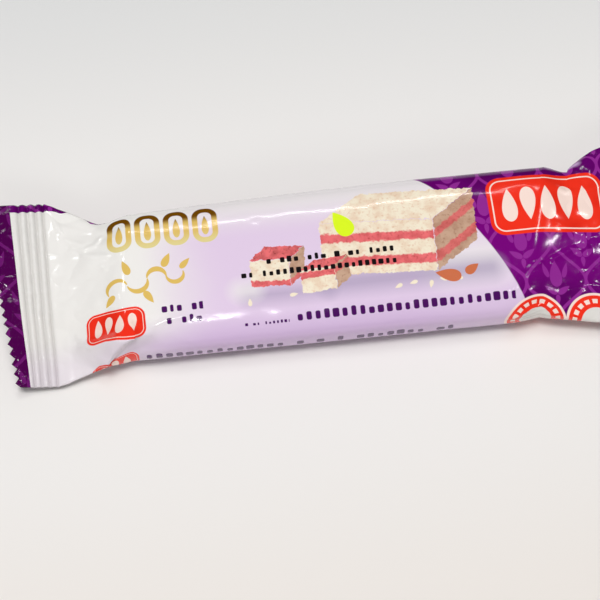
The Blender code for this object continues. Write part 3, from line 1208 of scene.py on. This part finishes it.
@dataclass(frozen=True)
class PrintedFilm:
    """Glossy film with its print: a white and lilac front, a purple rest, and ornaments."""

    purple: Ink = ink(106, 4, 112)
    purple_dark: Ink = ink(88, 4, 92)
    # Lighter purple painted along the top of the pack, where light falls.
    purple_bright: Ink = ink(120, 6, 122)
    margin_purple: Ink = ink(80, 4, 78)
    ornament: Ink = ink(150, 46, 150)
    white: Ink = ink(241, 238, 233)
    lilac: Ink = ink(226, 202, 230)
    lilac_deep: Ink = ink(208, 178, 217)
    red: Ink = ink(246, 52, 32)
    red_deep: Ink = ink(205, 22, 12)
    cream: Ink = ink(252, 226, 214)
    badge_middle: Ink = ink(226, 222, 216)
    gold: Ink = ink(226, 190, 100)
    gold_pale: Ink = ink(228, 212, 146)
    bronze: Ink = ink(112, 70, 6)
    small_print: Ink = ink(74, 20, 92)
    black: Ink = ink(24, 20, 22)
    halva: Ink = ink(246, 234, 210)
    halva_shade: Ink = ink(222, 176, 142)
    halva_side: Ink = ink(214, 180, 154)
    halva_side_shade: Ink = ink(156, 108, 84)
    berry: Ink = ink(238, 116, 118)
    berry_shade: Ink = ink(178, 58, 62)
    cocoa: Ink = ink(112, 36, 32)
    lime: Ink = ink(222, 250, 40)
    almond: Ink = ink(206, 112, 74)
    shadow: Ink = ink(168, 152, 182)
    sesame: Ink = ink(246, 232, 206)
    # Black laid thinly in the seal's grooves and over the seals: painted shade.
    pressed: Ink = (0.0, 0.0, 0.0, 1.0)
    roughness: float = 0.12
    # How strongly the painted shade darkens the grooves and the seals.
    groove_shade: float = 0.2
    seal_shade: float = 0.07
    crumple: float = 1.3
    ripple: float = 0.010
    crimp: float = 0.10
    front: Panel = Panel.disc((-38.5, -40.3), 80.3, 0.2)
    front_glow: Panel = Panel((27.0, -5.0), (18.0, 9.0), 4.5, 8.0)
    far_border: float = 19.8
    waist_rise: float = 2.6
    waist_dip: float = 3.2
    near_border: float = -27.5
    margin_border: float = -71.5
    margin_slant: float = 0.033
    lattice_origin: Place = (45.5, -12.0)
    lattice_cell: Place = (13.6, 18.6)
    lattice_line: float = 0.85
    gusset: Panel = Panel((51.4, 17.4), (8.4, 2.4), 1.2, 1.0)
    back: Panel = Panel((0.0, -34.0), (84.0, 8.4), 1.2)
    plaques: tuple[Plaque, ...] = (
        Plaque(Panel((46.2, 6.8), (26.5, 14.5), 3.4, 0.15), 1.0, 0.42, 5, (8.2, 3.5), 4.3),
        Plaque(Panel((-50.8, -11.7), (13.1, 7.2), 2.2, 0.15), 0.55, 0.25, 4, (4.3, 1.9), 2.5),
        Plaque(Panel((-51.8, -22.8), (10.4, 5.2), 1.8, 0.15), 0.5, 0.22, 3, (3.2, 1.7), 2.5),
    )
    badges: tuple[Badge, ...] = (Badge((40.2, -22.1), 6.8), Badge((53.8, -22.0), 6.9))

    def material(self) -> bpy.types.Material:
        """Return the finish as a material."""
        material = bpy.data.materials.new("printed_film")
        material.use_nodes = True
        shader = material.node_tree.nodes["Principled BSDF"]
        sheet = NodeSheet(material.node_tree)
        place = sheet.step("ShaderNodeUVMap", {}, uv_map=PRINT_MAP)
        groove, seal = sheet.split(sheet.step("ShaderNodeUVMap", {}, uv_map=RELIEF_MAP))
        art = Artwork(sheet, place, self.purple_dark)
        in_margin = sheet.math("LESS_THAN", art.along + art.around * self.margin_slant, self.margin_border)
        self.purple_field(art, in_margin)
        self.white_field(art, in_margin)
        self.small_prints(art)
        self.picture(art)
        self.gold_band(art)
        self.gold_flourish(art)
        art.lay_dashes(self.black, SmallPrint(-17.2, 11.2, -0.5, 1.5, 1.5, 5.0))
        art.lay_dashes(self.black, SmallPrint(-22.9, 11.3, -3.4, 1.5, 1.5, 17.0))
        for plaque in self.plaques:
            self.plaque(art, plaque)
        for badge in self.badges:
            self.badge(art, badge)
        art.lay(self.lilac_deep, art.panel(self.gusset).mask * 0.75)
        self.back_panel(art)
        # Painted shade: the seal's grooves, and more lightly the whole seal, are darkened with black in place
        # of the shade that falls in the ribs.
        art.lay(self.pressed, groove * self.groove_shade + seal * self.seal_shade)
        sheet.give(shader.inputs["Base Color"], art.colour)
        sheet.give(shader.inputs["Roughness"], self.roughness)
        sheet.give(shader.inputs["Normal"], self.wrinkled_normal(art, seal))
        return material

    def purple_field(self, art: Artwork, in_margin: Term) -> None:
        """Print the purple ground with its lattice, and a lighter band along the top that is painted light.
        """
        clouds = art.sheet.ramp(art.sheet.noise(art.place, 22.0), 0.35, 0.65)
        art.lay(self.purple, clouds)
        # Painted light: a lighter purple along the top of the pack, fading out down both sides.
        art.lay(self.purple_bright, art.sheet.ramp(abs(art.around + 3.0), 14.0, 5.0))
        art.lay(self.margin_purple, in_margin)
        place = art.place - (*self.lattice_origin, 0.0)
        cell = (*self.lattice_cell, 0.0)
        lattice = art.sheet.pattern(OgeeLattice(), place=place, cell=cell, line=self.lattice_line)
        art.lay(self.ornament, lattice.mask * (in_margin * -0.55 + 0.9))

    def white_field(self, art: Artwork, in_margin: Term) -> None:
        """Print the white front, tinted lilac from its left end to its curved border."""
        sheet, along, around = art.sheet, art.along, art.around
        risen = art.window((-61.6, -58.2), (-55.2, -56.6))
        dipped = art.window((-55.6, -54.4), (-50.2, -51.6))
        far_border = risen * self.waist_rise - dipped * self.waist_dip + self.far_border
        below_far = sheet.math("LESS_THAN", around, far_border)
        above_near = sheet.math("GREATER_THAN", around, self.near_border)
        mask = art.panel(self.front).mask * (1.0 - in_margin) * (below_far * above_near)
        uneven = along + (sheet.noise(art.place, 16.0) * 0.7 - 0.35) * 14.0
        tint = sheet.ramp(uneven, -46.0, -26.0) * (sheet.ramp(around, 15.0, 5.0) * 0.8 + 0.2)
        front = sheet.mix(self.white, self.lilac, tint * 0.9)
        deep = sheet.ramp(around, -10.0, -19.0) * (sheet.ramp(along, -60.0, -36.0) * 0.7 + 0.3)
        strength = sheet.ramp(along, 8.0, 34.0) * -0.3 + 0.8
        front = sheet.mix(front, self.lilac_deep, deep * strength)
        front = sheet.mix(front, self.white, art.panel(self.front_glow).mask * 0.75)
        art.lay(front, mask)

    def small_prints(self, art: Artwork) -> None:
        """Print the dashes that stand for the front's small print."""
        rows = (
            SmallPrint(-40.8, -31.6, -9.4, 1.8, 1.62, 3.0),
            SmallPrint(-40.0, -31.6, -12.2, 1.8, 1.62, 9.0),
            SmallPrint(-24.0, -13.4, -15.0, 0.75, 0.85, 14.0),
            SmallPrint(-12.0, 36.0, -14.3, 2.1, 1.95, 21.0),
            SmallPrint(-45.5, 23.0, -22.3, 2.6, 2.2, 33.0),
        )
        for row in rows:
            art.lay_dashes(self.small_print, row)

    def back_panel(self, art: Artwork) -> None:
        """Print the pale panel with rows of small print on the underside."""
        art.lay(self.lilac, art.panel(self.back).mask)
        for seed, level in ((41.0, -31.4), (47.0, -33.2), (53.0, -35.0), (59.0, -36.8)):
            art.lay_dashes(self.small_print, SmallPrint(-39.0, 39.0, level, 0.9, 1.0, seed))

    def picture(self, art: Artwork) -> None:
        """Print a drawing of layered halva with seeds, almonds and a leaf."""
        art.lay(self.shadow, art.panel(Panel((14.0, -7.6), (40.0, 5.0), 2.5, 4.0)).mask * 0.7)
        art.lay(self.shadow, art.panel(Panel((-13.0, -8.6), (20.0, 3.2), 1.6, 4.0)).mask * 0.7)
        art.lay(self.white, art.panel(Panel((-22.0, -7.0), (7.0, 4.4), 2.2, 3.4)).mask * 0.6)
        seeds = art.sheet.pattern(SeedScatter(), place=art.place, spacing=3.4, share=0.6)
        art.lay(self.sesame, seeds.mask * art.panel(Panel((2.0, -9.2), (50.0, 3.4), 1.7)).mask)
        two_layers = ((0.16, 0.34), (0.62, 0.78))
        pieces = (
            HalvaPiece((-5.0, -5.5), (25.0, -1.6), (0.4, 12.6), (9.6, 6.6), two_layers, 1.3),
            HalvaPiece((-20.8, -6.4), (8.6, -0.6), (0.2, 6.4), (3.6, 3.0), ((0.0, 0.22),), 1.2, True),
            HalvaPiece((-9.8, -9.4), (7.6, 0.6), (-0.2, 5.6), (3.2, 2.4), ((0.62, 0.9),), 1.2, True),
        )
        for piece in pieces:
            self.halva_piece(art, piece)
        art.lay_drop(self.lime, Drop((0.4, 6.6), 6.8, 4.2, 0.5))
        art.lay_drop(self.almond, Drop((22.0, -8.3), 5.8, 3.0, 1.3))
        art.lay_drop(self.almond, Drop((27.4, -7.4), 3.6, 2.2, -1.0))

    def halva_piece(self, art: Artwork, piece: HalvaPiece) -> None:
        """Print the top, the side and the front of one block of halva."""
        x, y = piece.corner
        front = (self.halva, self.halva_shade)
        side = (self.halva_side, self.halva_side_shade)
        top = (self.berry, self.cocoa) if piece.topped else front
        above = (x + piece.up[0], y + piece.up[1])
        beside = (x + piece.along[0], y + piece.along[1])
        self.halva_face(art, piece, above, piece.along, piece.back, top)
        self.halva_face(art, piece, beside, piece.back, piece.up, side, 0.25)
        self.halva_face(art, piece, piece.corner, piece.along, piece.up, front, 0.0)

    def halva_face(
        self,
        art: Artwork,
        piece: HalvaPiece,
        corner: Place,
        along: Place,
        up: Place,
        inks: tuple[Ink, Ink],
        shade: float | None = None,
    ) -> None:
        """Print one face of a block of halva.

        Args:
            art: The print so far.
            piece: The block.
            corner: The face's lower left corner.
            along: The face's lower edge.
            up: The face's left edge.
            inks: The crumb's light and dark inks.
            shade: How dark the face is as a whole, or None where the block's layers don't show.
        """
        sheet, place = art.sheet, art.place
        edges = {"corner": (*corner, 0.0), "along": (*along, 0.0), "up": (*up, 0.0), "crumble": piece.crumble}
        face = sheet.pattern(SlabFace(), place=place, **edges)
        crumb = sheet.pattern(HalvaCrumb(), place=place, light=inks[0], dark=inks[1]).colour
        if shade is not None:
            berries = sheet.pattern(HalvaCrumb(), place=place, light=self.berry, dark=self.berry_shade).colour
            for low, high in piece.layers:
                above = sheet.ramp(face.height, low - 0.02, low + 0.02)
                below = sheet.ramp(face.height, high + 0.02, high - 0.02)
                crumb = sheet.mix(crumb, berries, above * below)
        if shade:
            crumb = sheet.mix(crumb, self.halva_side_shade, shade)
        art.lay(crumb, face.mask)

    def gold_band(self, art: Artwork) -> None:
        """Print the band of gold arches, dark at its top and pale below."""
        sheet, wall, soft = art.sheet, 1.25, 0.12
        gold = sheet.mix(self.gold, self.gold_pale, sheet.ramp(art.around, 9.4, 5.8))
        gold = sheet.mix(gold, self.bronze, sheet.ramp(art.around, 10.6, 12.6))
        row = sheet.pattern(RowPlace(), place=art.place, centre=(-38.9, 10.0, 0.0), pitch=6.35, count=4.0)
        arch = Panel((0.0, 0.0), (5.7, 9.0), 2.6).drawn(sheet, row.place)
        frame = sheet.edge(arch.depth, soft) - sheet.edge(arch.depth - wall, soft)
        drop = Drop((0.0, -0.1), 5.0, 1.7).mask(sheet, row.place)
        art.lay(gold, sheet.math("MAXIMUM", frame, drop))

    def gold_flourish(self, art: Artwork) -> None:
        """Print the gold tendril with its leaves."""
        strokes = (
            Stroke((-49.7, -3.4), 2.3, 1.2, 20.0, 190.0),
            Stroke((-45.3, -2.2), 2.3, 1.3, 200.0, 175.0),
            Stroke((-41.0, -1.6), 2.1, 1.3, 0.0, 178.0),
            Stroke((-37.0, -1.2), 1.9, 1.2, 180.0, 200.0),
        )
        for stroke in strokes:
            angles = {"start": math.radians(stroke.start_deg), "sweep": math.radians(stroke.sweep_deg)}
            form = {"centre": (*stroke.centre, 0.0), "radius": stroke.radius, "breadth": stroke.breadth}
            art.lay(self.gold, art.sheet.pattern(BrushArc(), place=art.place, **form, **angles).mask)
        leaves = (
            Drop((-51.6, -5.9), 3.4, 1.6, 2.5),
            Drop((-47.6, 1.6), 3.8, 1.8, 0.35),
            Drop((-43.0, -6.2), 3.6, 1.7, -2.6),
            Drop((-38.6, 2.4), 3.6, 1.8, -0.5),
            Drop((-34.6, 1.2), 3.2, 1.5, -0.8),
        )
        for leaf in leaves:
            art.lay_drop(self.gold, leaf)

    def plaque(self, art: Artwork, plaque: Plaque) -> None:
        """Print a red plaque with its keyline and drops."""
        sheet = art.sheet
        panel = art.panel(plaque.panel)
        deeper = sheet.ramp(sheet.noise(art.place, 9.0), 0.45, 0.7)
        art.lay(sheet.mix(self.red, self.red_deep, deeper * 0.4), panel.mask)
        from_line = abs(panel.depth - plaque.keyline_inset)
        art.lay(self.cream, sheet.edge(plaque.keyline / 2 - from_line, 0.1))
        cells = {"pitch": plaque.drop_pitch, "count": float(plaque.drops)}
        row = sheet.pattern(RowPlace(), place=art.place, centre=(*plaque.panel.centre, 0.0), **cells)
        art.lay(self.cream, Drop((0.0, 0.0), *plaque.drop_size, row.odd * math.pi).mask(sheet, row.place))

    def badge(self, art: Artwork, badge: Badge) -> None:
        """Print a round badge with its rim, dashes and middle."""
        disc = art.panel(Panel.disc(badge.centre, badge.radius, 0.12))
        art.lay(self.cream, disc.mask)
        art.lay(self.red, art.sheet.edge(disc.depth - badge.rim, 0.12))
        ring = {"radius": badge.dash_radius, "breadth": badge.dash, "count": badge.dashes}
        dashes = art.sheet.pattern(DashRing(), place=art.place, centre=(*badge.centre, 0.0), **ring)
        art.lay(self.cream, dashes.mask)
        to_middle = badge.radius - badge.middle_radius
        art.lay(self.badge_middle, art.sheet.edge(disc.depth - to_middle, 0.12))

    def wrinkled_normal(self, art: Artwork, seal: Term) -> Term:
        """Return the film's normal with its finest wrinkles, deepest where no slab backs the film."""
        sheet = art.sheet
        loose = sheet.ramp(abs(art.along), 43.0, 53.0) * 0.9 + 0.1
        crumple = abs(sheet.noise(art.place, 9.0, 1.0) - 0.5) * loose * (self.crumple * MM)
        ripple = sheet.noise(art.place, 4.5) * (self.ripple * MM)
        crimp = sheet.noise(art.place, 0.9, 1.0) * (seal * (self.crimp * MM))
        values = {"Height": crumple + ripple + crimp, "Strength": 1.0, "Distance": 1.0}
        return sheet.step("ShaderNodeBump", values)


class LampPurpose(Enum):
    """What a lamp is for: to light the scene, or to be mirrored by the film's gloss."""

    LIGHTS = "lights"
    GLINTS = "glints"


@dataclass(frozen=True)
class Lamp:
    """A soft rectangular light that looks at the pack. Lengths are in millimetres, its power in watts."""

    name: str
    place: tuple[float, float, float]
    size: tuple[float, float]
    power: float
    purpose: LampPurpose = LampPurpose.GLINTS

    def add(self) -> bpy.types.Object:
        """Add the light, and return it."""
        data = bpy.data.lights.new(self.name, "AREA")
        data.shape = "RECTANGLE"
        data.size, data.size_y = (length * MM for length in self.size)
        data.energy = self.power
        light = bpy.data.objects.new(self.name, data)
        bpy.context.scene.collection.objects.link(light)
        light.location = Vector(self.place) * MM
        light.rotation_euler = (-light.location).to_track_quat("-Z", "Y").to_euler()
        light.visible_glossy = self.purpose is LampPurpose.GLINTS
        light.visible_diffuse = self.purpose is LampPurpose.LIGHTS
        return light


@dataclass(frozen=True)
class Studio:
    """The pale floor, the soft lights and the camera."""

    elevation_deg: float = 69.0
    turn_deg: float = 6.6
    distance: float = 450.0
    pixels_per_mm: float = 4.55
    target: tuple[float, float, float] = (-10.37, -7.55, 6.0)
    floor_size: float = 6000.0
    floor_middle: Ink = (0.843, 0.818, 0.79, 1.0)
    floor_far: Ink = (0.70, 0.70, 0.69, 1.0)
    floor_near: Ink = (0.825, 0.775, 0.725, 1.0)
    far_fade_m: Place = (0.015, 0.095)
    near_fade_m: Place = (-0.030, -0.085)
    glow: float = 0.2
    glow_colour: Ink = (0.93, 0.95, 1.0, 1.0)
    lamps: tuple[Lamp, ...] = (
        Lamp("key_soft", (-140.0, -90.0, 1280.0), (340.0, 340.0), 10.3, LampPurpose.LIGHTS),
        Lamp("back_soft", (120.0, 260.0, 1220.0), (300.0, 300.0), 2.6, LampPurpose.LIGHTS),
        Lamp("front_soft", (0.0, -1050.0, 760.0), (800.0, 400.0), 2.0, LampPurpose.LIGHTS),
        Lamp("behind_strip", (60.0, 700.0, 800.0), (300.0, 16.0), 0.45),
        Lamp("top_spot", (-80.0, -88.0, 1110.0), (90.0, 8.0), 0.75),
        Lamp("left_spot", (-620.0, 450.0, 860.0), (40.0, 40.0), 0.45),
        Lamp("low_left_spot", (-800.0, 325.0, 740.0), (24.0, 24.0), 0.07),
        Lamp("far_left_spot", (-400.0, 865.0, 610.0), (30.0, 30.0), 0.16),
        Lamp("right_spot", (520.0, 380.0, 1000.0), (40.0, 40.0), 0.2),
        Lamp("low_right_spot", (790.0, 240.0, 780.0), (40.0, 40.0), 0.35),
        Lamp("side_spot", (700.0, -250.0, 850.0), (50.0, 50.0), 0.4),
    )

    def axes(self) -> tuple[Vector, Vector, Vector]:
        """Return the camera's right, up and forward directions in the frame."""
        rise = math.radians(self.elevation_deg)
        turn = math.radians(self.turn_deg)
        right = Vector((math.cos(turn), -math.sin(turn), 0.0))
        forward = Vector((math.sin(turn) * math.cos(rise), math.cos(turn) * math.cos(rise), -math.sin(rise)))
        return right, right.cross(forward), forward

    def add_camera(self) -> None:
        """Set the camera where the photograph was taken from."""
        right, up, forward = self.axes()
        data = bpy.data.cameras.new("camera")
        data.sensor_width = 36.0
        data.lens = data.sensor_width * self.pixels_per_mm * self.distance / IMAGE_WIDTH_PX
        data.clip_start = 0.01
        camera = bpy.data.objects.new("camera", data)
        bpy.context.scene.collection.objects.link(camera)
        turned = Matrix((right, up, -forward)).transposed().to_4x4()
        place = (Vector(self.target) - self.distance * forward) * MM
        camera.matrix_world = Matrix.Translation(place) @ turned
        bpy.context.scene.camera = camera

    def add_floor(self) -> None:
        """Lay the floor, painted a little darker towards the back as shade, and warmer towards the front."""
        bpy.ops.mesh.primitive_plane_add(size=self.floor_size * MM, location=(0.0, 0.0, 0.0))
        floor = bpy.context.active_object
        floor.name = "floor"
        material = bpy.data.materials.new("pale_floor")
        material.use_nodes = True
        shader = material.node_tree.nodes["Principled BSDF"]
        sheet = NodeSheet(material.node_tree)
        _, away = sheet.split(sheet.step("ShaderNodeTexCoord", {}, "Object"))
        # Painted shade: the floor darkens towards the back.
        colour = sheet.mix(self.floor_middle, self.floor_far, sheet.ramp(away, *self.far_fade_m))
        colour = sheet.mix(colour, self.floor_near, sheet.ramp(away, *self.near_fade_m))
        sheet.give(shader.inputs["Base Color"], colour)
        sheet.give(shader.inputs["Roughness"], 0.7)
        sheet.give(shader.inputs["Specular IOR Level"], 0.2)
        floor.data.materials.append(material)

    def add_lights(self) -> None:
        """Add the lights and the world's even glow."""
        world = bpy.data.worlds.new("studio")
        world.use_nodes = True
        bpy.context.scene.world = world
        background = world.node_tree.nodes["Background"]
        background.inputs["Color"].default_value = self.glow_colour
        background.inputs["Strength"].default_value = self.glow
        world.cycles_visibility.glossy = False
        for lamp in self.lamps:
            lamp.add()

    def dress(self) -> None:
        """Build the whole studio."""
        self.add_floor()
        self.add_camera()
        self.add_lights()
        bpy.context.scene.view_settings.view_transform = "Standard"


def attach(piece: bpy.types.Object, finish: bpy.types.Material) -> None:
    """Dress a piece in its finish and let it stand for the pack's solid."""
    piece.data.materials.append(finish)
    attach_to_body(piece, BODY_NAME)
    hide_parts(CAD_NODE)
    LOG.info("%s: %d faces", piece.name, len(piece.data.polygons))


def main() -> None:
    """Build the pack and its studio, and report each piece."""
    logging.basicConfig(level=logging.INFO, format="%(name)s: %(message)s")
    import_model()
    bpy.ops.object.select_all(action="DESELECT")

    Studio().dress()

    film = FilmTube()
    finish = PrintedFilm().material()
    attach(film.build(), finish)
    attach(BackSeam().build(film), finish)


if __name__ == "__main__":
    main()
